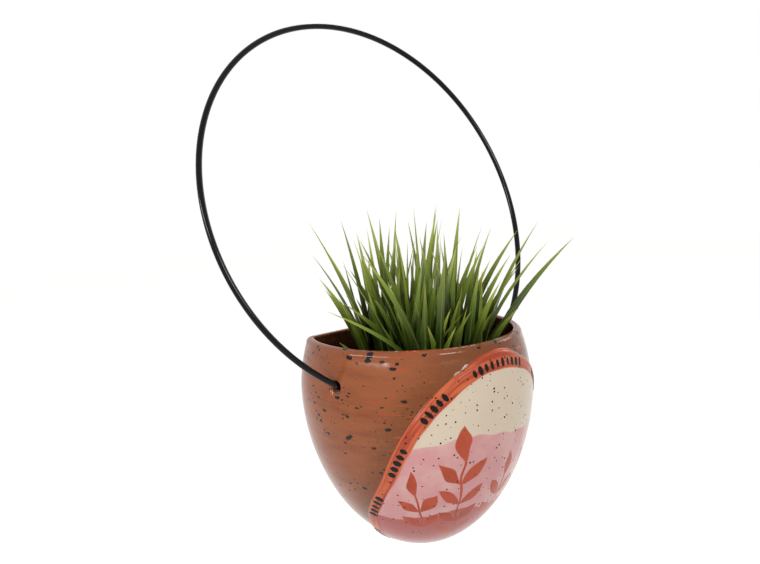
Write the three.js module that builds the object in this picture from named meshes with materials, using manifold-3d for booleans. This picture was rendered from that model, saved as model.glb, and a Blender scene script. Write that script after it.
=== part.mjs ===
// Wall planter: a glazed ceramic pot, egg-shaped with a flat back, hung from one large wire ring.
// The ring's open ends go into the pot through a hole in each side and swing there. Inside, a foam
// plug that follows the bowl holds four bunches of long grass blades.
//
// Millimetres. +Z is up, +X is to the viewer's right, +Y goes into the wall. The origin is the middle
// of the pot's flat back, level with the two holes.

import * as THREE from 'three';
import { mergeVertices } from 'three/addons/utils/BufferGeometryUtils.js';
import Module from 'manifold-3d';

const wasm = await Module();
wasm.setup();

// ---------- driving dimensions ----------

// pot: a body turned about an upright axis, cut off flat at the back
const AXIS_STANDOFF = 42.2;      // from the flat back to the axis that the pot is turned about
const BODY_RADIUS = 78.7;        // at the widest level
const WIDEST_DROP = 11.3;        // widest level, below the holes
const BOTTOM_DROP = 125.5;       // lowest point, below the holes
const RIM_RISE = 23.3;           // top of the lip, above the holes
const RIM_RADIUS = 73.3;         // where the shoulder meets the lip
const BOWL_EXPONENT = 1.94;      // 2 is an ellipse, less is more pointed
const SHOULDER_EXPONENT = 1.8;
const WALL = 5.6;
const CORNER_RADIUS = 6;         // upright edges between the flat back and the round
const LIP_OUTER_ROUND = 4;       // the rest of the wall is the lip's inner round

// raised panel on the front, bounded by one slanting plane
const PANEL_RELIEF = 1.8;        // how far it stands proud
const PANEL_SETBACK = 57.3;      // from the axis at hole level to the slanting plane, square to it
const PANEL_TILT = 29.2;         // degrees that the plane leans over the pot
const PANEL_EDGE = 1.2;          // width of the half step that softens its edge

// holes for the ring, and the ring
const HOLE_FORWARD = 9.9;        // holes' centre line, in front of the pot's axis
const HOLE_RADIUS = 4.2;
const HOLE_OUTER_FLARE = 0.8;
const HOLE_INNER_FLARE = 1;
const RING_RADIUS = 136;         // to the middle of the wire
const WIRE_RADIUS = 2;
const RING_LEAN = 20.4;          // degrees that the ring leans back
const PIVOT_DEPTH = 2.3;         // where the wire crosses the holes' centre line, behind the outer face
const WIRE_END_REACH = 20;       // length of wire from that crossing to its cut end

// caps pushed on to the wire's ends
const CAP_RADIUS = 5.5;
const CAP_GRIP = 9;              // length of wire inside the cap
const CAP_END = 2;               // thickness of its closed end
const CAP_EDGE = 1.2;            // softened edge of the closed end

// foam plug
const PLUG_RADIUS = 52;
const PLUG_FLAT = 32;            // from the pot's axis to the plug's flat side
const PLUG_CORNER = 8;
const PLUG_TOP_DROP = 20;        // its top, below the holes

// bunches of grass: a stem in the foam, a round foot on it and blades
const BUNCH_SPACING_X = 36;
const BUNCH_SPACING_Y = 36;
const BUNCH_FORWARD = 10;        // middle of the four, in front of the pot's axis
const FOOT_RADIUS = 17;
const FOOT_THICKNESS = 4;
const STEM_RADIUS = 3;
const STEM_LENGTH = 30;
const BLADES_PER_BUNCH = 26;
const BLADE_LENGTH = 128;        // the longest
const BLADE_SHORTEST = 0.42;     // share of the longest
const BLADE_WIDTH = 6.2;
const BLADE_ROOT_WIDTH = 0.7;    // share of the width
const BLADE_SWELL = 2.6;         // how fast the blade widens above its root
const BLADE_TAPER = 1.4;         // how early it narrows to its point
const BLADE_THICKNESS = 1.2;
const BLADE_FOLD = 0.45;         // depth of the fold along its middle, share of half the width
const BLADE_SPREAD = 86;         // how far the outermost tips bend away from their foot
const BLADE_STRAY = 1.1;         // radians that a blade's heading strays at most
const BLADE_SCATTER = 44;        // how far a tip stands from that heading at most
const BLADE_TURN = 1.3;          // radians that a blade's face turns aside at most
const BLADE_GAP = 0.5;           // between the blades of two bunches
const WALL_CLEARANCE = 4;        // between the blades and the wall

// gap between pieces that seat on each other
const FIT_GAP = 0.3;

// fineness of the faceted surfaces
const ROUND_STEPS = 48;
const CORNER_STEPS = 3;
const FLAT_STEPS = 4;
const BOWL_STEPS = 12;
const SHOULDER_STEPS = 4;
const LIP_STEPS = 3;
const HOLE_STEPS = 24;
const RING_STEPS = 104;
const WIRE_STEPS = 12;
const CAP_STEPS = 20;
const FOOT_STEPS = 24;
const BLADE_STEPS = 4;

// ---------- values that follow ----------

const rad = THREE.MathUtils.degToRad;
const up = new THREE.Vector3(0, 0, 1);
const lipInnerRound = WALL - LIP_OUTER_ROUND;
const lipStart = RIM_RISE - LIP_OUTER_ROUND;            // height where the shoulder ends
const innerLipStart = RIM_RISE - lipInnerRound;
const holeFace = sideOnHoleLine(0);                     // outer and inner face of the wall there
const holeInnerFace = sideOnHoleLine(WALL);
const pivotX = holeFace - PIVOT_DEPTH;
const ringRise = Math.sqrt(RING_RADIUS ** 2 - pivotX ** 2);   // ring's centre above the pivots
const wireEndTurn = Math.asin(pivotX / RING_RADIUS) - WIRE_END_REACH / RING_RADIUS;
const footBottom = FIT_GAP - PLUG_TOP_DROP;

const finishes = {
  glaze: new THREE.MeshStandardMaterial({ color: '#a05a3a', roughness: 0.25, metalness: 0 }),
  coatedWire: new THREE.MeshStandardMaterial({ color: '#141416', roughness: 0.35, metalness: 0.3 }),
  vinyl: new THREE.MeshStandardMaterial({ color: '#1b1b1d', roughness: 0.6, metalness: 0 }),
  foam: new THREE.MeshStandardMaterial({ color: '#4b4f38', roughness: 0.95, metalness: 0 }),
  blade: new THREE.MeshStandardMaterial({ color: '#3f6a22', roughness: 0.5, metalness: 0 }),
};

// ---------- joining and cutting ----------

// A closed geometry as a solid that can be joined and cut.
function solid(geometry) {
  const plain = geometry.clone();
  plain.deleteAttribute('normal');
  plain.deleteAttribute('uv');
  const merged = mergeVertices(plain, 1e-4);
  const corners = merged.index.array;
  const kept = [];
  for (let i = 0; i < corners.length; i += 3) {
    const [a, b, c] = corners.slice(i, i + 3);
    if (a !== b && b !== c && c !== a) kept.push(a, b, c);
  }
  return new wasm.Manifold(new wasm.Mesh({
    numProp: 3,
    vertProperties: new Float32Array(merged.attributes.position.array),
    triVerts: new Uint32Array(kept),
  }));
}

// A named sub-part from a solid.
function part(name, body, finish) {
  const { vertProperties, triVerts } = body.getMesh();
  const geometry = new THREE.BufferGeometry();
  geometry.setAttribute('position', new THREE.BufferAttribute(new Float32Array(vertProperties), 3));
  geometry.setIndex(new THREE.BufferAttribute(new Uint32Array(triVerts), 1));
  geometry.computeVertexNormals();
  const mesh = new THREE.Mesh(geometry, finish);
  mesh.name = name;
  return mesh;
}

// A skin over rings that have the same number of points, closed by a point at each end.
// The rings run anticlockwise seen from the end. Each panel is folded along its shorter diagonal.
function loft(rings, start, end) {
  const count = rings[0].length;
  const points = [start, ...rings.flat(), end];
  const last = points.length - 1;
  const faces = [];
  for (let i = 0; i < count; i++) {
    const next = (i + 1) % count;
    faces.push(0, 1 + next, 1 + i);
    for (let ring = 0; ring < rings.length - 1; ring++) {
      const low = 1 + ring * count;
      const high = low + count;
      const rising = points[low + i].distanceTo(points[high + next]);
      const falling = points[low + next].distanceTo(points[high + i]);
      if (rising < falling) {
        faces.push(low + i, low + next, high + next, low + i, high + next, high + i);
      } else {
        faces.push(low + i, low + next, high + i, low + next, high + next, high + i);
      }
    }
    faces.push(last - count + i, last - count + next, last);
  }
  const geometry = new THREE.BufferGeometry().setFromPoints(points);
  geometry.setIndex(faces);
  return geometry;
}

// A turned solid about +Z from a profile of [radius, height] pairs that starts and ends on the axis.
function turned(profile, steps) {
  const outline = profile.map(([radius, height]) => new THREE.Vector2(radius, height));
  return new THREE.LatheGeometry(outline, steps).rotateX(Math.PI / 2);
}

// ---------- pot ----------

// Radius of the pot at a height. A positive inset moves the face inwards.
function potRadius(height, inset) {
  const widest = BODY_RADIUS - inset;
  const drop = -WIDEST_DROP - height;
  if (drop > 0) {
    const share = Math.min(drop / (BOTTOM_DROP - WIDEST_DROP - inset), 1);
    return widest * (1 - share ** BOWL_EXPONENT) ** (1 / BOWL_EXPONENT);
  }
  const rise = -drop / (lipStart + WIDEST_DROP);
  return widest - (BODY_RADIUS - RIM_RADIUS) * rise ** SHOULDER_EXPONENT;
}

// Distance from the middle to the pot's face, on the holes' centre line.
function sideOnHoleLine(inset) {
  return Math.sqrt(potRadius(0, inset) ** 2 - HOLE_FORWARD ** 2);
}

// Level section of the pot: a circle about the axis, cut off at y = flat with rounded corners.
// Where the circle doesn't reach the flat it stays round, with the same number of points.
function dSection(radius, flat, corner, height) {
  const cutOff = radius - flat > corner / 4;
  const turn = cutOff ? Math.acos((flat - corner) / (radius - corner)) : Math.asin(corner / flat);
  const tip = cutOff ? (radius - corner) * Math.sin(turn) : 0;
  const points = [];
  const add = (middle, size, angle) => {
    const y = middle.y + size * Math.cos(angle);
    points.push(new THREE.Vector3(middle.x + size * Math.sin(angle), Math.min(y, flat), height));
  };
  const axis = { x: 0, y: 0 };
  for (let i = 0; i < ROUND_STEPS; i++) {
    add(axis, radius, -turn - (2 * Math.PI - 2 * turn) * (i / ROUND_STEPS));
  }
  const backSteps = 2 * CORNER_STEPS + FLAT_STEPS;
  for (let i = 0; i < backSteps; i++) {
    if (!cutOff) {
      add(axis, radius, turn - 2 * turn * (i / backSteps));
    } else if (i < CORNER_STEPS) {
      add({ x: tip, y: flat - corner }, corner, turn * (1 - i / CORNER_STEPS));
    } else if (i < CORNER_STEPS + FLAT_STEPS) {
      const share = (i - CORNER_STEPS) / FLAT_STEPS;
      add({ x: tip * (1 - 2 * share), y: flat - corner }, corner, 0);
    } else {
      const share = (i - CORNER_STEPS - FLAT_STEPS) / CORNER_STEPS;
      add({ x: -tip, y: flat - corner }, corner, -turn * share);
    }
  }
  return points;
}

// The pot's section at a height, with its face moved in by an inset.
function potSection(height, inset, radius = potRadius(height, inset)) {
  const corner = Math.max(CORNER_RADIUS - inset, lipInnerRound);
  return dSection(radius, AXIS_STANDOFF - inset, corner, height);
}

// Sections from just above the lowest point up to a height.
function bowlSections(inset, top) {
  const depth = BOTTOM_DROP - WIDEST_DROP - inset;
  const sections = [];
  for (let i = 1; i < BOWL_STEPS; i++) {
    const angle = (Math.PI / 2) * (1 - i / BOWL_STEPS);
    const height = -WIDEST_DROP - depth * Math.sin(angle) ** (2 / BOWL_EXPONENT);
    sections.push(potSection(height, inset));
  }
  for (let i = 0; i <= SHOULDER_STEPS; i++) {
    const height = -WIDEST_DROP + (top + WIDEST_DROP) * (i / SHOULDER_STEPS);
    sections.push(potSection(height, inset));
  }
  return sections;
}

// Middle of the pot's axis at its lowest point, moved in by an inset.
function bowlBottom(inset) {
  return new THREE.Vector3(0, 0, -BOTTOM_DROP + inset);
}

// The whole of the pot's outer form, or of its hollow, up to a height.
function potForm(inset, top) {
  return solid(loft(bowlSections(inset, top), bowlBottom(inset), new THREE.Vector3(0, 0, top)));
}

// The wall as one skin: up the outside, over the lip and down the inside.
function potShell() {
  const rings = bowlSections(0, lipStart);
  for (let i = 1; i <= LIP_STEPS; i++) {
    const angle = (Math.PI / 2) * (i / LIP_STEPS);
    const inset = LIP_OUTER_ROUND * (1 - Math.cos(angle));
    const height = lipStart + LIP_OUTER_ROUND * Math.sin(angle);
    rings.push(potSection(height, inset, RIM_RADIUS - inset));
  }
  for (let i = 1; i < LIP_STEPS; i++) {
    const angle = (Math.PI / 2) * (i / LIP_STEPS);
    const inset = LIP_OUTER_ROUND + lipInnerRound * Math.sin(angle);
    const height = innerLipStart + lipInnerRound * Math.cos(angle);
    rings.push(potSection(height, inset, RIM_RADIUS - inset));
  }
  rings.push(potSection(innerLipStart, WALL, RIM_RADIUS - WALL));
  rings.push(...bowlSections(WALL, lipStart).reverse());
  return solid(loft(rings, bowlBottom(0), bowlBottom(WALL)));
}

// Everything in front of the panel's slanting plane, moved forward by an offset.
function inFrontOfPanelPlane(offset) {
  const size = 4 * BODY_RADIUS;
  const block = new THREE.BoxGeometry(size, size, size);
  block.translate(0, -size / 2 - PANEL_SETBACK - offset, 0);
  return solid(block.rotateX(rad(PANEL_TILT)));
}

// The raised panel: a thicker skin in front of the plane, with a half step round its edge.
function raisedPanel() {
  const low = potForm(-PANEL_RELIEF / 2, lipStart).intersect(inFrontOfPanelPlane(0));
  const high = potForm(-PANEL_RELIEF, lipStart).intersect(inFrontOfPanelPlane(PANEL_EDGE));
  return low.add(high).subtract(potForm(WALL / 2, RIM_RISE));
}

// Cutter for one hole, flared at both faces of the wall. side is 1 on the right, -1 on the left.
function holeCutter(side) {
  const past = 2 * WALL;
  const cutter = turned([
    [0, holeInnerFace - past],
    [HOLE_RADIUS + HOLE_INNER_FLARE + past, holeInnerFace - past],
    [HOLE_RADIUS, holeInnerFace + HOLE_INNER_FLARE],
    [HOLE_RADIUS, holeFace - HOLE_OUTER_FLARE],
    [HOLE_RADIUS + HOLE_OUTER_FLARE + past, holeFace + past],
    [0, holeFace + past],
  ], HOLE_STEPS);
  return solid(cutter.rotateY(side * Math.PI / 2).translate(0, -HOLE_FORWARD, 0));
}

function potBody() {
  const body = potShell().add(raisedPanel()).subtract(holeCutter(1)).subtract(holeCutter(-1));
  return part('pot_body', body, finishes.glaze);
}

// ---------- ring and its caps, in the ring's own plane with the pivots on the X axis ----------

// Point on the wire's middle line, at a turn measured from the ring's lowest point.
function onRing(turn) {
  return new THREE.Vector3(RING_RADIUS * Math.sin(turn), 0, ringRise - RING_RADIUS * Math.cos(turn));
}

class WireLine extends THREE.Curve {
  getPoint(share) {
    return onRing(wireEndTurn + share * (2 * Math.PI - 2 * wireEndTurn));
  }
}

function hangerRing() {
  const section = new THREE.Shape();
  for (let i = 0; i < WIRE_STEPS; i++) {
    const angle = (2 * Math.PI * i) / WIRE_STEPS;
    const point = [WIRE_RADIUS * Math.cos(angle), WIRE_RADIUS * Math.sin(angle)];
    if (i === 0) section.moveTo(...point);
    else section.lineTo(...point);
  }
  section.closePath();
  const wire = new THREE.ExtrudeGeometry(section, { steps: RING_STEPS, extrudePath: new WireLine() });
  return part('hanger_ring', solid(wire), finishes.coatedWire);
}

function wireEndCap(name, side) {
  const bore = WIRE_RADIUS + FIT_GAP;
  const depth = CAP_GRIP + FIT_GAP;
  const length = depth + CAP_END;
  const shape = turned([
    [0, depth],
    [bore, depth],
    [bore, 0],
    [CAP_RADIUS, 0],
    [CAP_RADIUS, length - CAP_EDGE],
    [CAP_RADIUS - CAP_EDGE, length],
    [0, length],
  ], CAP_STEPS);
  const mouth = onRing(side * (wireEndTurn + CAP_GRIP / RING_RADIUS));
  const along = onRing(side * wireEndTurn).sub(mouth).normalize();
  const cap = part(name, solid(shape), finishes.vinyl);
  cap.quaternion.setFromUnitVectors(up, along);
  cap.position.copy(mouth);
  return cap;
}

// ---------- plant ----------

// The four bunches, each on its own side of the plant's middle.
const bunches = [
  { name: 'grass_bunch_back_left', sideX: -1, sideY: 1 },
  { name: 'grass_bunch_back_right', sideX: 1, sideY: 1 },
  { name: 'grass_bunch_front_left', sideX: -1, sideY: -1 },
  { name: 'grass_bunch_front_right', sideX: 1, sideY: -1 },
].map((bunch, i) => ({
  ...bunch,
  firstBlade: i * BLADES_PER_BUNCH,
  x: bunch.sideX * BUNCH_SPACING_X / 2,
  y: bunch.sideY * BUNCH_SPACING_Y / 2,
}));

// Foam cut to a D-shaped block whose foot follows the bowl, with a hole for each stem.
function foamPlug() {
  const ends = [-BOTTOM_DROP, -PLUG_TOP_DROP];
  const rings = ends.map((height) => dSection(PLUG_RADIUS, PLUG_FLAT, PLUG_CORNER, height));
  const block = solid(loft(rings, ...ends.map((height) => new THREE.Vector3(0, 0, height))));
  let plug = block.intersect(potForm(WALL + FIT_GAP, lipStart));
  for (const { x, y } of bunches) {
    const hole = turned([
      [0, -PLUG_TOP_DROP - STEM_LENGTH],
      [STEM_RADIUS + FIT_GAP, -PLUG_TOP_DROP - STEM_LENGTH],
      [STEM_RADIUS + FIT_GAP, 0],
      [0, 0],
    ], CAP_STEPS);
    plug = plug.subtract(solid(hole.translate(x, y - BUNCH_FORWARD, 0)));
  }
  return part('foam_plug', plug, finishes.foam);
}

// A number between 0 and 1 that is spread evenly as the count goes up.
function spread(count, ratio) {
  return (count * ratio) % 1;
}

// One blade: a strip folded along its middle that narrows to a point and bends to its tip.
function blade(root, tip, turn) {
  const away = tip.clone().sub(root).setZ(0);
  const keel = away.clone().normalize().applyAxisAngle(up, turn);
  const side = new THREE.Vector3().crossVectors(up, keel);
  const middle = (share) => root.clone()
    .addScaledVector(away, 0.3 * share + 0.7 * share ** 2)
    .addScaledVector(up, (tip.z - root.z) * share);
  const rings = [];
  for (let i = 0; i < BLADE_STEPS; i++) {
    const share = i / BLADE_STEPS;
    const swell = BLADE_ROOT_WIDTH + BLADE_SWELL * share;
    const width = (BLADE_WIDTH / 2) * swell * (1 - share) ** BLADE_TAPER;
    const thickness = (BLADE_THICKNESS / 2) * (1 - 0.5 * share);
    const fold = BLADE_FOLD * width;
    rings.push([[width, 0], [0, thickness - fold], [-width, 0], [0, -thickness - fold]].map(
      ([across, through]) => middle(share)
        .addScaledVector(side, across)
        .addScaledVector(keel, -through),
    ));
  }
  return solid(loft(rings, root, tip));
}

// One bunch: stem, foot and blades. Outer blades lean away from the middle of the plant, longer
// ones more than short ones, and none leans over to another bunch's side or into the wall.
function grassBunch({ name, sideX, sideY, x, y, firstBlade }) {
  const foot = turned([
    [0, footBottom - STEM_LENGTH + 2 * FIT_GAP],
    [STEM_RADIUS, footBottom - STEM_LENGTH + 2 * FIT_GAP],
    [STEM_RADIUS, footBottom],
    [FOOT_RADIUS, footBottom],
    [FOOT_RADIUS, footBottom + FOOT_THICKNESS],
    [0, footBottom + FOOT_THICKNESS],
  ], FOOT_STEPS);
  const goldenAngle = Math.PI * (3 - Math.sqrt(5));
  const rootCircle = FOOT_RADIUS - BLADE_WIDTH / 2;
  const farthestRoot = Math.hypot(BUNCH_SPACING_X / 2, BUNCH_SPACING_Y / 2) + rootCircle;
  const edge = BLADE_WIDTH / 2 + BLADE_GAP;
  const wall = AXIS_STANDOFF - WALL_CLEARANCE + BUNCH_FORWARD;
  let bunch = solid(foot.translate(x, y, 0));
  for (let i = 0; i < BLADES_PER_BUNCH; i++) {
    const fromMiddle = rootCircle * Math.sqrt((i + 0.5) / BLADES_PER_BUNCH);
    const root = new THREE.Vector3(x, y, footBottom + FOOT_THICKNESS / 2);
    root.x += fromMiddle * Math.cos(i * goldenAngle);
    root.y += fromMiddle * Math.sin(i * goldenAngle);
    const count = firstBlade + i;
    const share = BLADE_SHORTEST + (1 - BLADE_SHORTEST) * spread(count, 0.618) ** 1.3;
    const bend = share ** 1.3;
    const lean = (Math.hypot(root.x, root.y) / farthestRoot) ** 0.9;
    const reach = BLADE_SPREAD * bend * lean * (0.1 + spread(count, 0.755) ** 1.4);
    const scatter = BLADE_SCATTER * bend * spread(count, 0.57);
    const heading = Math.atan2(root.y, root.x) + BLADE_STRAY * (2 * spread(count, 0.286) - 1);
    const aside = 2 * Math.PI * spread(count, 0.867);
    const tip = root.clone();
    tip.x += reach * Math.cos(heading) + scatter * Math.cos(aside);
    tip.y += reach * Math.sin(heading) + scatter * Math.sin(aside);
    tip.x = sideX * Math.max(sideX * tip.x, edge);
    tip.y = Math.min(sideY * Math.max(sideY * tip.y, edge), wall);
    tip.z += Math.sqrt((BLADE_LENGTH * share) ** 2 - tip.distanceToSquared(root));
    bunch = bunch.add(blade(root, tip, BLADE_TURN * (2 * spread(count, 0.4512) - 1)));
  }
  const mesh = part(name, bunch, finishes.blade);
  mesh.position.y = -BUNCH_FORWARD;
  return mesh;
}

// ---------- assembly ----------

const pot = new THREE.Group();
pot.position.y = -AXIS_STANDOFF;
pot.add(potBody(), foamPlug(), ...bunches.map(grassBunch));

const hanger = new THREE.Group();
hanger.position.y = -AXIS_STANDOFF - HOLE_FORWARD;
hanger.rotation.x = -rad(RING_LEAN);
hanger.add(hangerRing(), wireEndCap('wire_end_cap_left', -1), wireEndCap('wire_end_cap_right', 1));

const planter = new THREE.Group();
planter.add(pot, hanger);

export default planter;
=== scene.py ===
"""Looks of a wall planter: an egg-shaped glazed pot with a flat back and a raised slanting panel,
hung from one large ring of coated wire, with artificial grass in a foam plug.

Metres. +Z is up, +X to the viewer's right, +Y into the wall. The origin is the middle of the pot's
flat back, level with its two holes. Heights are from the holes, and radii from the pot's upright axis.
"""

import math

import bmesh
import bpy
from bpy.props import FloatProperty, FloatVectorProperty, IntProperty, PointerProperty
from mathutils import Matrix, Vector, noise


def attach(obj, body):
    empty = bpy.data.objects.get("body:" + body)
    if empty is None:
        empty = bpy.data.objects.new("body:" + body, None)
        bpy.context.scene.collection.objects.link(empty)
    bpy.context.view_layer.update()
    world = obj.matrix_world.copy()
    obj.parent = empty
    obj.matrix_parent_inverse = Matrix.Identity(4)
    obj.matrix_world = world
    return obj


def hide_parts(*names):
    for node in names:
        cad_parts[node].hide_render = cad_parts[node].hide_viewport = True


bl_info = {
    "name": "Wall Planter",
    "version": (1, 0, 0),
    "blender": (4, 5, 0),
    "location": "3D View > Sidebar > Wall Planter",
    "description": "Builds a glazed wall planter with a wire ring and artificial grass",
    "category": "Object",
}

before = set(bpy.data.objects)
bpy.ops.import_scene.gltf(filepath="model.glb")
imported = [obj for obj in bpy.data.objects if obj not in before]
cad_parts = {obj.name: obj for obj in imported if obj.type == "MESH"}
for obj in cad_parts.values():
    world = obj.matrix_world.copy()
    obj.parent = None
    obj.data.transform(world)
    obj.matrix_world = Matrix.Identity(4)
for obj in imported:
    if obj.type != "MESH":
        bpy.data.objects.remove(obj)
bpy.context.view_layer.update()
MM = 0.001
UP = Vector((0, 0, 1))
SMOOTH = {"interpolation_type": "SMOOTHSTEP"}


# ---------- small helpers ----------


def linear(hex_colour):
    """A hex sRGB colour as linear red, green, blue and alpha."""
    channels = [int(hex_colour[i : i + 2], 16) / 255 for i in (1, 3, 5)]
    return (*[c / 12.92 if c <= 0.04045 else ((c + 0.055) / 1.055) ** 2.4 for c in channels], 1.0)


def length(name, metres):
    """A length property."""
    return FloatProperty(name=name, default=metres, unit="LENGTH")


def ratio(name, value):
    """A plain number property."""
    return FloatProperty(name=name, default=value)


def angle(name, radians):
    """An angle property."""
    return FloatProperty(name=name, default=radians, subtype="ANGLE")


def colour(name, hex_colour):
    """A colour property."""
    return FloatVectorProperty(
        name=name, default=linear(hex_colour), size=4, subtype="COLOR", min=0, max=1
    )


def add(tree, kind, *values, **rest):
    """Adds a node with its settings, and gives the first of its outputs that is in use.

    Kind is the node's kind, and its operation if it has one. The values go to the inputs in use, in
    their order. In rest, names with a capital are inputs, with underscores for spaces, and the others
    are settings. A socket is linked, and None changes nothing.
    """
    kind, _, operation = kind.partition(" ")
    node = tree.nodes.new(kind if "Node" in kind else f"ShaderNode{kind}")
    if operation:
        node.operation = operation
    named = {key.replace("_", " "): rest.pop(key) for key in list(rest) if key[0].isupper()}
    for key, value in rest.items():
        setattr(node, key, value)
    given = list(zip([socket for socket in node.inputs if socket.enabled], values))
    given += [(node.inputs[key], value) for key, value in named.items()]
    for socket, value in given:
        if isinstance(value, bpy.types.NodeSocket):
            tree.links.new(value, socket)
        elif value is not None:
            socket.default_value = value
    return next((socket for socket in node.outputs if socket.enabled), None)


def new_material(name):
    """A material and its node tree, still empty."""
    material = bpy.data.materials.new(name)
    material.use_nodes = True
    material.node_tree.nodes.clear()
    return material, material.node_tree


def new_group(name, inputs):
    """A Geometry Nodes tree that takes these inputs, and the sockets that give them inside it."""
    tree = bpy.data.node_groups.new(name, "GeometryNodeTree")
    for key, kind in inputs.items():
        tree.interface.new_socket(key, in_out="INPUT", socket_type=f"NodeSocket{kind}")
    tree.interface.new_socket("Geometry", in_out="OUTPUT", socket_type="NodeSocketGeometry")
    return tree, add(tree, "NodeGroupInput").node.outputs


def smoothstep(low, high, value):
    """0 below low, 1 above high, with a smooth rise between them."""
    share = min(max((value - low) / (high - low), 0), 1)
    return share * share * (3 - 2 * share)


def mesh_object(name, mesh, materials):
    """Links a mesh to the scene as an object with these materials."""
    for material in materials:
        mesh.materials.append(material)
    piece = bpy.data.objects.new(name, mesh)
    bpy.context.scene.collection.objects.link(piece)
    return piece


def as_mesh(shape, name):
    """A new mesh from a bmesh, which is freed."""
    mesh = bpy.data.meshes.new(name)
    shape.to_mesh(mesh)
    shape.free()
    return mesh


def finished_mesh(piece):
    """The mesh of an object with its modifiers applied. The object itself is removed."""
    bpy.context.view_layer.update()
    evaluated = piece.evaluated_get(bpy.context.evaluated_depsgraph_get())
    mesh = bpy.data.meshes.new_from_object(evaluated)
    bpy.data.objects.remove(piece)
    return mesh


def with_nodes(name, mesh, tree, values):
    """The mesh that a Geometry Nodes tree makes from a mesh, with these input values."""
    piece = mesh_object(name, mesh, [])
    modifier = piece.modifiers.new("nodes", "NODES")
    modifier.node_group = tree
    for socket in tree.interface.items_tree:
        if socket.in_out == "INPUT" and socket.name in values:
            modifier[socket.identifier] = values[socket.name]
    return finished_mesh(piece)


def shade(mesh, sharpest):
    """Smooth shading, apart from edges sharper than an angle in degrees."""
    shape = bmesh.new()
    shape.from_mesh(mesh)
    for face in shape.faces:
        face.smooth = True
    for edge in shape.edges:
        edge.smooth = len(edge.link_faces) != 2 or edge.calc_face_angle() < math.radians(sharpest)
    shape.to_mesh(mesh)
    shape.free()


def turned(profile, steps):
    """A closed mesh turned about +Z from (radius, height) pairs that start and end on the axis."""
    shape = bmesh.new()
    turns = [2 * math.pi * i / steps for i in range(steps)]
    rings = []
    for radius, height in profile:
        if radius < 1e-9:
            rings.append([shape.verts.new((0, 0, height))])
            continue
        rings.append([
            shape.verts.new((radius * math.cos(t), radius * math.sin(t), height)) for t in turns
        ])
    for low, high in zip(rings, rings[1:]):
        for i in range(steps):
            corners = [
                low[i % len(low)], low[(i + 1) % len(low)],
                high[(i + 1) % len(high)], high[i % len(high)],
            ]
            shape.faces.new(dict.fromkeys(corners))
    bmesh.ops.recalc_face_normals(shape, faces=shape.faces)
    return as_mesh(shape, "turned")


# ---------- sizes and colours ----------


class PotSizes(bpy.types.PropertyGroup):
    """The pot's form: a turned body with a flat back, a raised panel and two holes."""

    standoff: length("Flat back to the pot's upright axis", 0.0422)
    body_radius: length("Radius at the widest level", 0.0787)
    widest_drop: length("Widest level, below the holes", 0.0113)
    bottom_drop: length("Lowest point, below the holes", 0.1255)
    rim_rise: length("Top of the lip, above the holes", 0.0233)
    rim_radius: length("Radius where the shoulder meets the lip", 0.0733)
    wall: length("Thickness of the wall", 0.0056)
    corner: length("Radius of the back's upright edges", 0.006)
    lip_round: length("Outer rounding of the lip", 0.004)
    bowl_power: ratio("Fullness of the bowl, 2 for an ellipse", 1.94)
    shoulder_power: ratio("How late the shoulder turns in", 1.8)
    wobble: length("Unevenness of the cast body", 0.00025)
    panel_setback: length("Pot's axis to the panel's plane", 0.0573)
    panel_tilt: angle("Lean of the panel's plane", math.radians(29.2))
    panel_relief: length("How far the panel stands proud", 0.0015)
    bead_relief: length("How far its border stands prouder", 0.0003)
    border: length("Width of the panel's border", 0.0080)
    foot_start: length("Below the holes, where the panel's edge leaves its plane", 0.055)
    foot_end: length("Below the holes, where it has left it", 0.095)
    foot_reach: length("How far it lies outside its plane there", 0.006)
    crown_start: length("Above the holes, where the edge leaves its plane", 0.010)
    crown_end: length("Above the holes, where it has left it", 0.019)
    crown_reach: length("How far the edge lies outside its plane at the top", 0.002)
    hole_forward: length("Holes in front of the pot's axis", 0.0099)
    hole_radius: length("Radius of each hole", 0.0042)
    hole_flare: length("Rounding of the holes' edges", 0.0009)


class PaintSizes(bpy.types.PropertyGroup):
    """The painted pattern on the panel and the flecks in the body's glaze."""

    wave_height: length("Edge of the cream ground, down the face", 0.020)
    hem_height: length("Edge of the lowest ground, down the face", 0.070)
    dash_length: length("Length of a brushed dash", 0.0062)
    dash_width: length("Width of a brushed dash", 0.0034)
    dash_thickness: length("Thickness of a brushed dash", 0.0005)
    dash_spacing: length("Between dashes along the border", 0.0048)
    fleck: length("Largest fleck across", 0.0052)
    fleck_spacing: length("Between the flecks", 0.0066)
    speck: length("Largest of the small flecks across", 0.00144)
    speck_spacing: length("Between the small flecks", 0.0029)
    dot: length("Largest dot on the panel across", 0.0016)
    dot_spacing: length("Between the dots", 0.0027)


class GlazeColours(bpy.types.PropertyGroup):
    """Colours of the fired glazes."""

    body: colour("Terracotta glaze", "#91512e")
    body_deep: colour("Terracotta glaze where it lies thick", "#824527")
    body_shade: colour("Sprayed shade beside the panel", "#6f3c18")
    # painted shade: the two inside colours are the body glaze made darker to stand for the shade inside the
    # pot, and the deep one also pools in bands
    inside: colour("Shaded glaze inside", "#5c3524")
    inside_deep_painted_shade: colour("Inside glaze where it lies thick", "#4a291c")
    fleck: colour("Iron flecks", "#1c0d08")
    streak: colour("Red streaks", "#b04526")
    border: colour("The panel's border", "#c4623f")
    border_deep: colour("Brush marks in the border", "#a3412a")
    cream: colour("Upper ground", "#d0bfaa")
    pink: colour("Middle ground", "#c98f90")
    pink_thin: colour("Middle ground where it is thin", "#cfa29c")
    rose: colour("Lowest ground", "#ac5750")
    leaf: colour("Painted leaves", "#b24c31")
    dash: colour("Brushed dashes and dots", "#0b0808")


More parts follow.
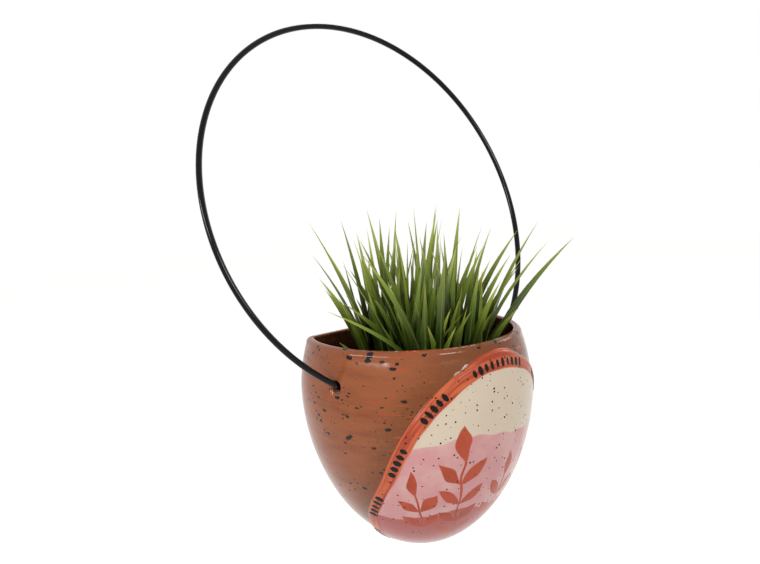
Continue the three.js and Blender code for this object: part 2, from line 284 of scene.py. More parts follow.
class HangerSizes(bpy.types.PropertyGroup):
    """The wire ring and the caps on its ends."""

    ring_radius: length("Ring's middle to the middle of the wire", 0.136)
    wire_radius: length("Radius of the coated wire", 0.002)
    lean: angle("How far the ring leans back", math.radians(20.4))
    pivot_depth: length("Wire's crossing of the hinge line, behind the pot's outer face", 0.0023)
    end_reach: length("Wire from that crossing to its end", 0.020)
    cap_radius: length("Radius of the end cap", 0.0055)
    cap_grip: length("Length of wire in the cap", 0.009)
    cap_end: length("Thickness of the cap's closed end", 0.002)
    coat: colour("Powder coating on the wire", "#050506")
    vinyl: colour("Dipped vinyl of the caps", "#18181a")


class GrassSizes(bpy.types.PropertyGroup):
    """The artificial grass and its foam."""

    blades: IntProperty(name="Blades in one bunch", default=26, min=1)
    fillers: IntProperty(name="Blades added to fill a bunch", default=18)
    splay: ratio("How much wider the added blades spread", 1.4)
    longest: length("Length of the longest blade", 0.128)
    shortest: ratio("Shortest blade, as a share of the longest", 0.42)
    root_inset: length("Blades' roots to the foot's edge", 0.0031)
    width: length("Width of a blade", 0.0070)
    thickness: ratio("Half a blade's thickness, as a share of half its width", 0.1)
    fold: ratio("Depth of a blade's fold, as a share of half its width", 0.45)
    spacing: length("Between the bunches' middles", 0.036)
    forward: length("Middle of the plant before the pot's axis", 0.010)
    foot_radius: length("Radius of a bunch's foot", 0.017)
    foot_top: length("Top of the feet, below the holes", 0.0157)
    spread: length("How far the outermost tips bend away", 0.086)
    scatter: length("How far a tip stands from its heading", 0.044)
    front_reach: length("Farthest tip in front of the plant's middle", 0.076)
    stray: angle("How far a blade's heading strays", 1.1)
    face_turn: angle("How far a blade's face turns aside", 1.3)
    blade_gap: length("Between the blades of two bunches", 0.0005)
    wall_clearance: length("Between the blades and the wall", 0.004)
    # partly painted shade: the near black at the foot and the dark middle stand for the shade low in the bunch
    # as well as the plastic's own darker green there
    base: colour("Blades near the foot", "#0e1507")
    middle: colour("Blades half way up", "#3f5318")
    late: colour("Blades near the tip", "#758b30")
    tip: colour("Blades at the tip", "#b3b65a")
    foam: colour("Dry foam", "#454a33")


# ---------- pot ----------


def pot_radius(pot, height, inset=0.0):
    """Radius of the pot at a height. A positive inset moves the face inwards."""
    widest = pot.body_radius - inset
    drop = -pot.widest_drop - height
    if drop > 0:
        share = min(drop / (pot.bottom_drop - pot.widest_drop - inset), 1)
        return widest * (1 - share**pot.bowl_power) ** (1 / pot.bowl_power)
    rise = -drop / (pot.rim_rise - pot.lip_round + pot.widest_drop)
    return widest - (pot.body_radius - pot.rim_radius) * rise**pot.shoulder_power


def section_reach(turn, radius, flat, corner):
    """From the axis to a level section's edge, at a turn from the flat back's middle."""
    turn = abs(turn)
    if radius <= flat:
        return radius
    tangent = math.acos((flat - corner) / (radius - corner))
    if turn >= tangent:
        return radius
    tip = (radius - corner) * math.sin(tangent)
    if turn <= math.atan2(tip, flat):
        return flat / math.cos(turn)
    along = tip * math.sin(turn) + (flat - corner) * math.cos(turn)
    return along + math.sqrt(along**2 - tip**2 - (flat - corner) ** 2 + corner**2)


def pot_levels(pot, fine):
    """(height, inset, radius, outside) up the outside, over the lip and down the inside."""
    lip_start = pot.rim_rise - pot.lip_round
    inner_round = pot.wall - pot.lip_round

    def face(inset, bowl_steps, shoulder_steps):
        depth = pot.bottom_drop - pot.widest_drop - inset
        turns = [math.pi / 2 * i / bowl_steps for i in range(1, bowl_steps)]
        heights = [-pot.widest_drop - depth * math.cos(turn) ** (2 / pot.bowl_power) for turn in turns]
        span = lip_start + pot.widest_drop
        heights += [-pot.widest_drop + span * i / shoulder_steps for i in range(shoulder_steps + 1)]
        return [(height, inset, pot_radius(pot, height, inset)) for height in heights]

    levels = [(*level, 1.0) for level in face(0.0, 3 * fine, fine // 2)]
    for i in range(1, fine // 2 + 1):
        turn = math.pi / 2 * i / (fine // 2)
        inset = pot.lip_round * (1 - math.cos(turn))
        levels.append((lip_start + pot.lip_round * math.sin(turn), inset, pot.rim_radius - inset, 1.0))
    for i in range(1, fine // 3):
        turn = math.pi / 2 * i / (fine // 3)
        inset = pot.lip_round + inner_round * math.sin(turn)
        height = pot.rim_rise - inner_round * (1 - math.cos(turn))
        levels.append((height, inset, pot.rim_radius - inset, 0.0))
    levels.append((pot.rim_rise - inner_round, pot.wall, pot.rim_radius - pot.wall, 0.0))
    return levels + [(*level, 0.0) for level in reversed(face(pot.wall, fine, fine // 3))]


def panel_bend(pot, height):
    """How much further out than its plane the panel reaches at a height."""
    foot = pot.foot_reach * smoothstep(pot.foot_start, pot.foot_end, -height)
    return foot + pot.crown_reach * smoothstep(pot.crown_start, pot.crown_end, height)


def ahead_of_panel_edge(pot, point):
    """How far a point of the pot lies inside the panel's edge, which is a slanting plane that is bent
    out a little at its top and bottom."""
    y = point[1] + pot.standoff
    ahead = -y * math.cos(pot.panel_tilt) - point[2] * math.sin(pot.panel_tilt) - pot.panel_setback
    return ahead + panel_bend(pot, point[2])


def panel_profile(pot, ahead):
    """How far the raised panel stands proud, at a distance inside its edge."""
    step = pot.panel_relief * smoothstep(-0.3 * MM, 1.3 * MM, ahead)
    bead = smoothstep(0.2 * MM, 1.8 * MM, ahead)
    bead *= 1 - smoothstep(pot.border - 1.2 * MM, pot.border + 0.3 * MM, ahead)
    return step + pot.bead_relief * bead


def pot_shape(pot):
    """The pot's closed mesh with its raised panel, before the holes are cut."""
    # every 0.9 degrees round the back, where the corners are, and coarser round the rest
    turns = [math.radians(0.9 * i) for i in range(-76, 77)]
    rest = 2 * math.pi - 2 * turns[-1]
    turns += [turns[-1] + rest * i / 92 for i in range(1, 92)]
    count = len(turns)
    shape = bmesh.new()
    outside = shape.verts.layers.float.new("outside")
    rings = []
    for height, inset, radius, side in pot_levels(pot, fine=20):
        corner = max(pot.corner - inset, pot.wall - pot.lip_round)
        ring = []
        for turn in turns:
            reach = section_reach(turn, radius, pot.standoff - inset, corner)
            vert = shape.verts.new(
                (reach * math.sin(turn), reach * math.cos(turn) - pot.standoff, height)
            )
            vert[outside] = side
            ring.append(vert)
        rings.append(ring)
    for low, high in zip(rings, rings[1:]):
        for i in range(count):
            j = (i + 1) % count
            shape.faces.new((low[i], high[i], high[j], low[j]))
    poles = [(rings[0], -pot.bottom_drop, 1.0), (rings[-1], -pot.bottom_drop + pot.wall, 0.0)]
    for ring, height, side in poles:
        pole = shape.verts.new((0, -pot.standoff, height))
        pole[outside] = side
        for i in range(count):
            shape.faces.new((ring[i], ring[(i + 1) % count], pole))
    bmesh.ops.recalc_face_normals(shape, faces=shape.faces)
    cut_along_panel(pot, shape, outside)
    raise_panel(pot, shape, outside)
    return as_mesh(shape, "pot_shape")


def cut_along_panel(pot, shape, outside):
    """Adds lines of edges to the outer face that follow the panel's edge and its border. The mesh is
    bent so that the edge is a plane, cut, and bent back."""
    normal = Vector((0, -math.cos(pot.panel_tilt), -math.sin(pot.panel_tilt)))
    middle = Vector((0, -pot.standoff, 0))
    for vert in shape.verts:
        vert.co.y -= panel_bend(pot, vert.co.z) / math.cos(pot.panel_tilt)
    edge = [-0.3, 0.0, 0.3, 0.6, 0.95, 1.3, 1.8]
    border = [pot.border / MM + step for step in (-1.2, -0.8, -0.4, 0.0, 0.3)]
    for ahead in edge + border:
        faces = [f for f in shape.faces if all(v[outside] > 0.5 for v in f.verts)]
        parts = set(faces)
        for face in faces:
            parts.update(face.verts)
            parts.update(face.edges)
        bmesh.ops.bisect_plane(
            shape, geom=list(parts), dist=1e-6, plane_no=normal,
            plane_co=middle + normal * (pot.panel_setback + ahead * MM),
        )
    for vert in shape.verts:
        vert.co.y += panel_bend(pot, vert.co.z) / math.cos(pot.panel_tilt)


def raise_panel(pot, shape, outside):
    """Lifts the panel off the body, gives the body its wobble and marks each face's glaze."""
    shape.normal_update()
    moves = []
    for vert in shape.verts:
        # waves about 26 mm long, and a flat back that stays flat
        lift = pot.wobble * noise.noise(vert.co / (26 * MM))
        if vert[outside] > 0.5:
            lift += panel_profile(pot, ahead_of_panel_edge(pot, vert.co))
            lift *= smoothstep(0, 12 * MM, -vert.co.y)
        moves.append(vert.normal * lift)
    for vert, move in zip(shape.verts, moves):
        vert.co += move
    for face in shape.faces:
        middle = face.calc_center_median()
        if all(v[outside] > 0.5 for v in face.verts):
            face.material_index = int(ahead_of_panel_edge(pot, middle) > 0)
        else:
            # faces inside the pot, below the lip, take the darker inner glaze, which is painted shade
            face.material_index = 2 if middle.z < pot.rim_rise - 1.2 * MM else 0
        face.smooth = True


def hole_cutter(pot, side):
    """Cutter for one hole, rounded at both faces. side is 1 on the right and -1 on the left."""
    outer, inner = (
        math.sqrt(pot_radius(pot, 0, inset) ** 2 - pot.hole_forward**2) for inset in (0, pot.wall)
    )
    beyond = 8 * MM
    flare = pot.hole_flare
    widest = pot.hole_radius + flare + beyond
    profile = [(0, inner - beyond), (widest, inner - beyond)]
    for face, inwards, steps in ((inner, 1, range(7)), (outer, -1, range(6, -1, -1))):
        for turn in [math.pi / 2 * i / 6 for i in steps]:
            profile.append((
                pot.hole_radius + flare * (1 - math.sin(turn)),
                face + inwards * flare * (1 - math.cos(turn)),
            ))
    profile += [(widest, outer + beyond), (0, outer + beyond)]
    mesh = turned(profile, 40)
    mesh.transform(Matrix.Rotation(side * math.pi / 2, 4, "Y"))
    mesh.transform(Matrix.Translation((0, -pot.standoff - pot.hole_forward, 0)))
    return mesh


def body_glaze(name, base, deep, pot, paint, colours):
    """Terracotta-brown gloss glaze on cast stoneware, dipped and fired: it pools a little darker in
    soft level bands, iron in it breaks through as dark flecks that lie in rows, and a few red streaks
    run with them. The eye sees a wet gloss over an uneven, speckled brown."""
    material, tree = new_material(name)
    place = add(tree, "TexCoord").node.outputs["Object"]
    mm = add(tree, "VectorMath MULTIPLY", place, (1000, 1000, 1000))
    levels = add(tree, "Mapping", mm, Scale=(0.03, 0.03, 0.16))
    bands = add(tree, "TexNoise", levels, Scale=1, Detail=4, Roughness=0.6)
    pooled = add(tree, "MapRange", bands, 0.38, 0.75, **SMOOTH)

    # sprayed shade: strongest at the panel's edge, gone 17 mm away from it, in coarse grains
    ahead = panel_distance(tree, pot, place)
    grain = add(tree, "TexNoise", mm, Scale=0.5, Detail=4)
    ragged = add(tree, "Math MULTIPLY_ADD", grain, 12.0, ahead)
    spray = add(tree, "MapRange", ragged, -12, 6, 0, 0.8, **SMOOTH)

    # streaks: brushed level marks about 12 mm long
    streak_map = add(tree, "Mapping", mm, Scale=(0.05, 0.05, 0.5), Location=(3, 1, 2))
    streak_noise = add(tree, "TexNoise", streak_map, Scale=1, Detail=3, Roughness=0.55)
    streaks = add(tree, "MapRange", streak_noise, 0.63, 0.70, 0, 0.85, **SMOOTH)

    # flecks: ragged spots, twice as wide as high, gathered in level drifts
    drift_map = add(tree, "Mapping", mm, Scale=(0.03, 0.03, 0.075))
    drift = add(tree, "TexNoise", drift_map, Scale=1, Detail=2)
    crowd = add(tree, "MapRange", drift, 0.40, 0.62, **SMOOTH)
    large = spots(tree, mm, paint.fleck_spacing, paint.fleck, crowd, 1.9, 2.2)
    small = spots(tree, mm, paint.speck_spacing, paint.speck, crowd, 1.5, 1.6)
    flecks = add(tree, "Math MAXIMUM", large, small)

    tone = base
    for mask, layer in (
        (pooled, deep), (spray, colours.body_shade), (streaks, colours.streak), (flecks, colours.fleck)
    ):
        tone = add(tree, "Mix", mask, tone, layer, data_type="RGBA")
    waves = add(tree, "TexNoise", mm, Scale=0.07, Detail=2)
    ripple = add(tree, "Bump", Strength=0.5, Distance=0.0004, Height=waves)
    pits = add(tree, "Bump", Strength=0.3, Distance=0.0001, Height=flecks, Normal=ripple)
    shader = add(tree, "BsdfPrincipled", tone, Roughness=0.13, IOR=1.45, Specular_IOR_Level=0.3, Normal=pits)
    add(tree, "OutputMaterial", shader)
    return material


def panel_distance(tree, pot, place):
    """Millimetres inside the panel's edge, from Object coordinates, as ahead_of_panel_edge."""
    normal = Vector((0, -math.cos(pot.panel_tilt), -math.sin(pot.panel_tilt)))
    start = (pot.panel_setback + pot.standoff * math.cos(pot.panel_tilt)) / MM
    ahead = add(tree, "VectorMath DOT_PRODUCT", place, normal / MM)
    height = add(tree, "SeparateXYZ", place).node.outputs["Z"]
    for low, high, least, most in (
        (-pot.foot_start, -pot.foot_end, -start, pot.foot_reach / MM - start),
        (pot.crown_start, pot.crown_end, 0, pot.crown_reach / MM),
    ):
        bend = add(tree, "MapRange", height, low, high, least, most, **SMOOTH)
        ahead = add(tree, "Math ADD", ahead, bend)
    return ahead


def spots(tree, mm, spacing, largest, crowd, flatten, ragged):
    """Uneven dark spots, at most one to each cell, more of them where the crowd value is high."""
    spacing, largest = spacing / MM, largest / MM / 2
    wander = add(tree, "TexNoise", mm, Scale=0.8, Detail=3).node.outputs["Color"]
    nudge = add(tree, "VectorMath SUBTRACT", wander, (0.5, 0.5, 0.5))
    bent = add(tree, "VectorMath MULTIPLY_ADD", nudge, (ragged, ragged, ragged), mm)
    scaled = add(tree, "Mapping", bent, Scale=(1 / spacing, 1 / spacing, flatten / spacing))
    cells = add(tree, "TexVoronoi", scaled, Scale=1, Randomness=1).node.outputs
    chance = add(tree, "SeparateColor", cells["Color"]).node.outputs
    limit = add(tree, "MapRange", crowd, 0, 1, 0.10, 0.85)
    chosen = add(tree, "Math LESS_THAN", chance["Red"], limit)
    size = add(tree, "MapRange", chance["Green"], 0, 1, 0.35 * largest / spacing, largest / spacing)
    inside = add(tree, "Math SUBTRACT", size, cells["Distance"])
    edge = add(tree, "MapRange", inside, 0, 0.14 / spacing, **SMOOTH)
    return add(tree, "Math MULTIPLY", edge, chosen)


def unrolled(tree, pot, place):
    """The outer face laid flat: metres along the surface to the right and up, as X and Z. The turn
    counts at the middle of the panel's radius, so that upright lines stay upright."""
    centred = add(tree, "VectorMath ADD", place, (0, pot.standoff, 0))
    axes = add(tree, "SeparateXYZ", centred).node.outputs
    forward = add(tree, "Math MULTIPLY", axes["Y"], -1.0)
    turn = add(tree, "Math ARCTAN2", axes["X"], forward)
    right = add(tree, "Math MULTIPLY", turn, 0.85 * pot.body_radius)
    depth = pot.bottom_drop - pot.widest_drop
    share = add(tree, "Math MULTIPLY_ADD", axes["Z"], 1 / depth, pot.widest_drop / depth)
    slope = add(tree, "Math ARCSINE", share)
    up = add(tree, "Math MULTIPLY", slope, (depth + pot.body_radius) / 2)
    return add(tree, "CombineXYZ", X=right, Z=up)


def sprig(tree, place, foot, lean, pairs, leaf_length, leaf_width):
    """A painted stem with leaves in pairs: lowest where the paint is, on the unrolled face.

    The sprig's own level is folded into equal steps, so that one leaf repeats up the stem.
    """
    pitch = 0.78 * leaf_length
    tall = pairs * pitch
    slant = math.radians(44)
    local = add(tree, "Mapping", place, (foot[0], 0, foot[1]), (0, lean, 0), vector_type="TEXTURE")
    axes = add(tree, "SeparateXYZ", local).node.outputs
    across = add(tree, "Math ABSOLUTE", axes["X"])
    level = add(tree, "Math WRAP", axes["Z"], pitch, 0.0)
    folded = add(tree, "CombineXYZ", X=across, Z=level)
    leaf = add(
        tree, "Mapping", folded, (0.5 * leaf_length * math.sin(slant), 0, 0.5 * pitch),
        (0, slant, 0), (leaf_width / 2, 1, leaf_length / 2), vector_type="TEXTURE",
    )
    crown = add(
        tree, "Mapping", local, (0, 0, tall + 0.46 * leaf_length), None,
        (leaf_width / 2.1, 1, leaf_length / 1.9), vector_type="TEXTURE",
    )
    stem = add(tree, "Math MULTIPLY", across, 1 / (0.8 * MM))
    painted = add(tree, "Math MINIMUM", leaf_value(tree, leaf), stem)
    below = add(tree, "Math GREATER_THAN", 0.0, axes["Z"])
    above = add(tree, "Math GREATER_THAN", axes["Z"], tall)
    away = add(tree, "Math ADD", below, above)
    kept = add(tree, "Math MULTIPLY_ADD", away, 9.0, painted)
    return add(tree, "Math MINIMUM", kept, leaf_value(tree, crown))


def leaf_value(tree, local):
    """Below 1 inside a pointed leaf that reaches from -1 to 1 along Z and X of local."""
    axes = add(tree, "SeparateXYZ", local).node.outputs
    width, reach = (add(tree, "Math ABSOLUTE", axes[name]) for name in ("X", "Z"))
    point = add(tree, "Math POWER", reach, 1.5)
    return add(tree, "Math ADD", point, width)


def painted_glaze(pot, paint, colours):
    """Coloured glazes brushed on the raised panel under a clear gloss: a coral border with brush
    marks, a cream ground over a pink and a rose one, and leaves brushed in coral. The eye sees soft,
    slightly uneven painted edges with small dark dots, all sunk in one smooth gloss."""
    material, tree = new_material("painted_panel_glaze")
    place = add(tree, "TexCoord").node.outputs["Object"]
    mm = add(tree, "VectorMath MULTIPLY", place, (1000, 1000, 1000))
    wander = add(tree, "TexNoise", mm, Scale=0.07, Detail=0)
    shake = add(tree, "VectorMath SUBTRACT", wander.node.outputs["Color"], (0.5, 0.5, 0.5))
    hand = add(
        tree, "VectorMath MULTIPLY_ADD", shake, (0.005, 0.005, 0.005), unrolled(tree, pot, place),
    )

    # grounds: each brushed up to a gentle wave, the pink one with a paler second coat
    axes = add(tree, "SeparateXYZ", hand).node.outputs
    turn = add(tree, "Math MULTIPLY", axes["X"], 1 / (14 * MM))
    sway = add(tree, "Math SINE", turn)
    level = add(tree, "Math MULTIPLY_ADD", sway, 0.0026, axes["Z"])
    pink, rose = (
        add(tree, "MapRange", level, -height + soft * MM, -height - soft * MM, **SMOOTH)
        for height, soft in ((paint.wave_height, 0.5), (paint.hem_height, 0.8))
    )
    wash = add(tree, "TexNoise", mm, Scale=0.06, Detail=3)
    thin = add(tree, "MapRange", wash, 0.38, 0.68, **SMOOTH)

    # leaves: tall and low sprigs in turn
    leaves = None
    for foot, lean, pairs, leaf_length, leaf_width in (
        ((-0.049, -0.082), -0.14, 2, 0.0190, 0.0082),
        ((-0.023, -0.098), -0.03, 4, 0.0215, 0.0092),
        ((0.008, -0.096), 0.06, 3, 0.0195, 0.0084),
        ((0.036, -0.088), 0.10, 3, 0.0215, 0.0092),
        ((0.060, -0.068), 0.28, 1, 0.0180, 0.0078),
    ):
        value = sprig(tree, hand, foot, lean, pairs, leaf_length, leaf_width)
        leaves = value if leaves is None else add(tree, "Math MINIMUM", leaves, value)
    leaf = add(tree, "MapRange", leaves, 1.0, 0.86, **SMOOTH)

    # border, brushed along the edge
    ahead = panel_distance(tree, pot, place)
    edge = add(tree, "Math MULTIPLY_ADD", wander, 1.6, ahead)
    width = pot.border / MM
    border = add(tree, "MapRange", edge, width + 1.1, width + 0.5, **SMOOTH)
    brush = add(tree, "Mapping", add(tree, "CombineXYZ", ahead, axes["X"]), Scale=(0.5, 45, 1))
    marks = add(tree, "TexNoise", brush, Scale=1, Detail=3)
    marked = add(tree, "MapRange", marks, 0.42, 0.62, **SMOOTH)
    pinks, leaf_tone, border_tone = (
        add(tree, "Mix", mask, first, second, data_type="RGBA")
        for mask, first, second in (
            (thin, colours.pink, colours.pink_thin), (thin, colours.leaf, colours.border_deep),
            (marked, colours.border, colours.border_deep),
        )
    )

    # all of it under evenly scattered dots
    dots = spots(tree, mm, paint.dot_spacing, paint.dot, 0.42, 1.0, 0.5)
    tone = colours.cream
    for mask, layer in (
        (pink, pinks), (rose, colours.rose), (leaf, leaf_tone), (border, border_tone),
        (dots, colours.dash),
    ):
        tone = add(tree, "Mix", mask, tone, layer, data_type="RGBA")
    waves = add(tree, "TexNoise", mm, Scale=0.08, Detail=2)
    ripple = add(tree, "Bump", Strength=0.4, Distance=0.0003, Height=waves)
    painted = add(tree, "Bump", Strength=0.5, Distance=0.0001, Height=leaf, Normal=ripple)
    shader = add(tree, "BsdfPrincipled", tone, Roughness=0.2, IOR=1.45, Specular_IOR_Level=0.2, Normal=painted)
    add(tree, "OutputMaterial", shader)
    return material


class PLANTER_OT_pot(bpy.types.Operator):
    """Makes the glazed pot with its raised panel and its two holes"""

    bl_idname = "planter.pot"
    bl_label = "Glazed Pot"

    def execute(self, context):
        pot = context.scene.planter_pot
        paint = context.scene.planter_paint
        colours = context.scene.planter_glazes
        glazes = [
            body_glaze("terracotta_glaze", colours.body, colours.body_deep, pot, paint, colours),
            painted_glaze(pot, paint, colours),
            # the darker inner glaze is painted shade for the inside of the pot, not a different glaze
            body_glaze("inner_glaze_painted_shade", colours.inside, colours.inside_deep_painted_shade, pot, paint, colours),
        ]
        blank = mesh_object("pot_blank", pot_shape(pot), glazes)
        cutters = [mesh_object("hole_cutter", hole_cutter(pot, side), []) for side in (-1, 1)]
        for cutter in cutters:
            cut = blank.modifiers.new("hole", "BOOLEAN")
            cut.operation = "DIFFERENCE"
            cut.solver = "EXACT"
            cut.object = cutter
        mesh = finished_mesh(blank)
        for cutter in cutters:
            bpy.data.objects.remove(cutter)
        shade(mesh, 38)
        piece = mesh_object("glazed_pot", mesh, [])
        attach(piece, "pot")
        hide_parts("pot_body")
        return {"FINISHED"}


# ---------- brushed dashes ----------


def border_line(pot, inside):
    """Places and outward directions round the panel, at a distance inside its edge."""
    slope = math.tan(pot.panel_tilt)
    reach = (pot.panel_setback + inside) / math.cos(pot.panel_tilt)
    top = pot.rim_rise - pot.lip_round
    steps = 2000
    side = []
    for i in range(steps):
        height = top - (top + pot.bottom_drop) * i / (steps - 1)
        radius = pot_radius(pot, height)
        y = -reach - slope * height + panel_bend(pot, height) / math.cos(pot.panel_tilt)
        if abs(y) < radius:
            side.append(Vector((math.sqrt(radius**2 - y**2), y, height)))
    nudge = 0.1 * MM
    lift = pot.panel_relief + pot.bead_relief
    line = []
    for p in side + [Vector((-p.x, p.y, p.z)) for p in reversed(side)]:
        slant = pot_radius(pot, p.z + nudge) - pot_radius(pot, max(p.z - nudge, -pot.bottom_drop))
        outward = (Vector((p.x, p.y, 0)).normalized() * (2 * nudge) - UP * slant).normalized()
        line.append((p + outward * lift - Vector((0, pot.standoff, 0)), outward))
    return line


def dash_nodes():
    """Geometry Nodes: domed dashes across a line, in fives, each leaning on the surface below it."""
    tree, given = new_group("brushed_dashes", {
        "Geometry": "Geometry", "Spacing": "Float", "Length": "Float", "Width": "Float",
        "Thickness": "Float", "Paint": "Material",
    })
    curve = add(tree, "GeometryNodeMeshToCurve", given["Geometry"])
    even = add(tree, "GeometryNodeResampleCurve", curve, Length=given["Spacing"], mode="LENGTH")
    points = add(tree, "GeometryNodeCurveToPoints", even, mode="EVALUATED").node.outputs
    index = add(tree, "GeometryNodeInputIndex")
    in_group = add(tree, "FunctionNodeIntegerMath MODULO", index, 9)
    gap = add(tree, "FunctionNodeCompare GREATER_THAN", in_group, 4, data_type="INT")
    fives = add(tree, "GeometryNodeDeleteGeometry", points["Points"], gap, domain="POINT")
    out = add(tree, "GeometryNodeInputNamedAttribute", "outward", data_type="FLOAT_VECTOR")
    stand = add(tree, "FunctionNodeAlignRotationToVector", Vector=out, axis="Z")
    lay = add(
        tree, "FunctionNodeAlignRotationToVector", stand, Vector=points["Tangent"], axis="X",
        pivot_axis="Z",
    )
    uneven = add(
        tree, "FunctionNodeRandomValue", (0.8, 0.8, 1.0), (1.1, 1.1, 1.0), Seed=4,
        data_type="FLOAT_VECTOR",
    )
    size = add(tree, "CombineXYZ", given["Width"], given["Length"], given["Thickness"])
    size = add(tree, "VectorMath MULTIPLY", size, uneven)
    drop = add(tree, "GeometryNodeMeshIcoSphere", 0.5, 3)
    dashes = add(tree, "GeometryNodeInstanceOnPoints", fives, Instance=drop, Rotation=lay, Scale=size)
    solid = add(tree, "GeometryNodeRealizeInstances", dashes)
    smooth = add(tree, "GeometryNodeSetShadeSmooth", solid)
    coloured = add(tree, "GeometryNodeSetMaterial", smooth, Material=given["Paint"])
    add(tree, "NodeGroupOutput", coloured)
    return tree


def plain_finish(name, tone, other, wear, grain=None, bump=None, **finish):
    """A material of one colour that wavers towards another, with a fine grain on its face.

    wear and grain are the scale and detail of a noise, and bump is the strength and depth of the
    grain's bump. finish goes to the shader.
    """
    material, tree = new_material(name)
    place = add(tree, "TexCoord").node.outputs["Object"]
    if grain:
        peel = add(tree, "TexNoise", place, *grain)
        finish["Normal"] = add(tree, "Bump", *bump, Height=peel)
    wavering = add(tree, "TexNoise", place, *wear)
    mixed = add(tree, "Mix", wavering, tone, linear(other), data_type="RGBA")
    shader = add(tree, "BsdfPrincipled", mixed, **finish)
    add(tree, "OutputMaterial", shader)
    return material


class PLANTER_OT_dashes(bpy.types.Operator):
    """Makes the brushed dashes that stand in fives round the panel's border"""

    bl_idname = "planter.dashes"
    bl_label = "Brushed Dashes"

    def execute(self, context):
        pot = context.scene.planter_pot
        paint = context.scene.planter_paint
        line = border_line(pot, pot.border / 2)
        mesh = bpy.data.meshes.new("border_line")
        edges = [(i, (i + 1) % len(line)) for i in range(len(line))]
        mesh.from_pydata([place for place, _ in line], edges, [])
        outward = mesh.attributes.new("outward", "FLOAT_VECTOR", "POINT")
        for value, (_, direction) in zip(outward.data, line):
            value.vector = direction
        # black brushed overglaze, fired on: thick enough to stand a little proud, with rounded edges
        # and the same wet gloss as the glaze around it
        overglaze = plain_finish(
            "black_overglaze", context.scene.planter_glazes.dash, "#1a1516", (900, 2),
            Roughness=0.2, IOR=1.45, Specular_IOR_Level=0.18,
        )
        dashes = with_nodes("dash_line", mesh, dash_nodes(), {
            "Spacing": paint.dash_spacing, "Length": paint.dash_length, "Width": paint.dash_width,
            "Thickness": paint.dash_thickness, "Paint": overglaze,
        })
        piece = mesh_object("brushed_dashes", dashes, [])
        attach(piece, "pot")
        return {"FINISHED"}


# ---------- ring and caps ----------


def hanger_matrix(pot, hanger):
    """From the ring's own plane, with the pivots on X, to the row frame."""
    pivot = Matrix.Translation((0, -pot.standoff - pot.hole_forward, 0))
    return pivot @ Matrix.Rotation(-hanger.lean, 4, "X")


def pivot_x(pot, hanger):
    """From the middle to where the wire crosses the holes' centre line."""
    return math.sqrt(pot_radius(pot, 0) ** 2 - pot.hole_forward**2) - hanger.pivot_depth


def on_ring(pot, hanger, turn):
    """Point on the wire's middle line, at a turn from the ring's lowest point, in its own plane."""
    radius = hanger.ring_radius
    rise = math.sqrt(radius**2 - pivot_x(pot, hanger) ** 2)
    return Vector((radius * math.sin(turn), 0, rise - radius * math.cos(turn)))


def end_turn(pot, hanger):
    """Turn from the ring's lowest point to the wire's cut end."""
    crossing = math.asin(pivot_x(pot, hanger) / hanger.ring_radius)
    return crossing - hanger.end_reach / hanger.ring_radius


class PLANTER_OT_ring(bpy.types.Operator):
    """Makes the large ring of coated wire"""

    bl_idname = "planter.ring"
    bl_label = "Wire Ring"

    def execute(self, context):
        pot = context.scene.planter_pot
        hanger = context.scene.planter_hanger
        start = end_turn(pot, hanger)
        steps = 300
        wire = bpy.data.curves.new("wire_line", "CURVE")
        wire.dimensions = "3D"
        wire.bevel_depth = hanger.wire_radius
        wire.bevel_resolution = 5
        wire.use_fill_caps = True
        line = wire.splines.new("POLY")
        line.points.add(steps)
        for i, point in enumerate(line.points):
            turn = start + (2 * math.pi - 2 * start) * i / steps
            point.co = (*on_ring(pot, hanger, turn), 1)
        blank = bpy.data.objects.new("wire_blank", wire)
        context.scene.collection.objects.link(blank)
        mesh = finished_mesh(blank)
        mesh.transform(hanger_matrix(pot, hanger))
        shade(mesh, 40)
        # black powder coating on drawn steel wire: satin, with the faint orange-peel of sprayed
        # powder in cells of 0.7 mm, which gives one soft, narrow highlight along the wire
        coating = plain_finish(
            "black_powder_coat", hanger.coat, "#0e0e10", (60, 4), (1400, 2), (0.1, 0.00003),
            Roughness=0.13, IOR=1.5, Specular_IOR_Level=0.16,
        )
        piece = mesh_object("coated_wire_ring", mesh, [coating])
        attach(piece, "hanger")
        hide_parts("hanger_ring")
        return {"FINISHED"}


class PLANTER_OT_caps(bpy.types.Operator):
    """Makes the two vinyl caps on the wire's ends, inside the pot"""

    bl_idname = "planter.caps"
    bl_label = "Wire End Caps"

    def execute(self, context):
        pot = context.scene.planter_pot
        hanger = context.scene.planter_hanger
        # dip-moulded black vinyl: matt and a little rubbery, with soft drips near its closed end
        vinyl = plain_finish(
            "dipped_vinyl", hanger.vinyl, "#26262a", (420, 3), (420, 3), (0.4, 0.0002),
            Roughness=0.58, IOR=1.5, Sheen_Weight=0.1,
        )
        play, mouth_round, end_round = 0.3 * MM, 0.5 * MM, 1.6 * MM
        bore = hanger.wire_radius + play
        depth = hanger.cap_grip + play
        tall = depth + hanger.cap_end
        outer = hanger.cap_radius
        profile = [(0, depth), (bore, depth), (bore, 0.4 * MM), (bore + 0.4 * MM, 0)]
        profile += [(outer - mouth_round, 0), (outer, mouth_round)]
        for turn in [math.pi / 2 * i / 8 for i in range(9)]:
            profile.append((
                outer - end_round * (1 - math.cos(turn)), tall - end_round * (1 - math.sin(turn))
            ))
        profile.append((0, tall))
        start = end_turn(pot, hanger)
        for name, side in (("left", -1), ("right", 1)):
            mesh = turned(profile, 48)
            mouth = on_ring(pot, hanger, side * (start + hanger.cap_grip / hanger.ring_radius))
            along = on_ring(pot, hanger, side * start) - mouth
            turn = UP.rotation_difference(along).to_matrix().to_4x4()
            mesh.transform(hanger_matrix(pot, hanger) @ Matrix.Translation(mouth) @ turn)
            shade(mesh, 50)
            piece = mesh_object(f"vinyl_cap_{name}", mesh, [vinyl])
            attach(piece, "hanger")
            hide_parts(f"wire_end_cap_{name}")
        return {"FINISHED"}


# ---------- plant ----------


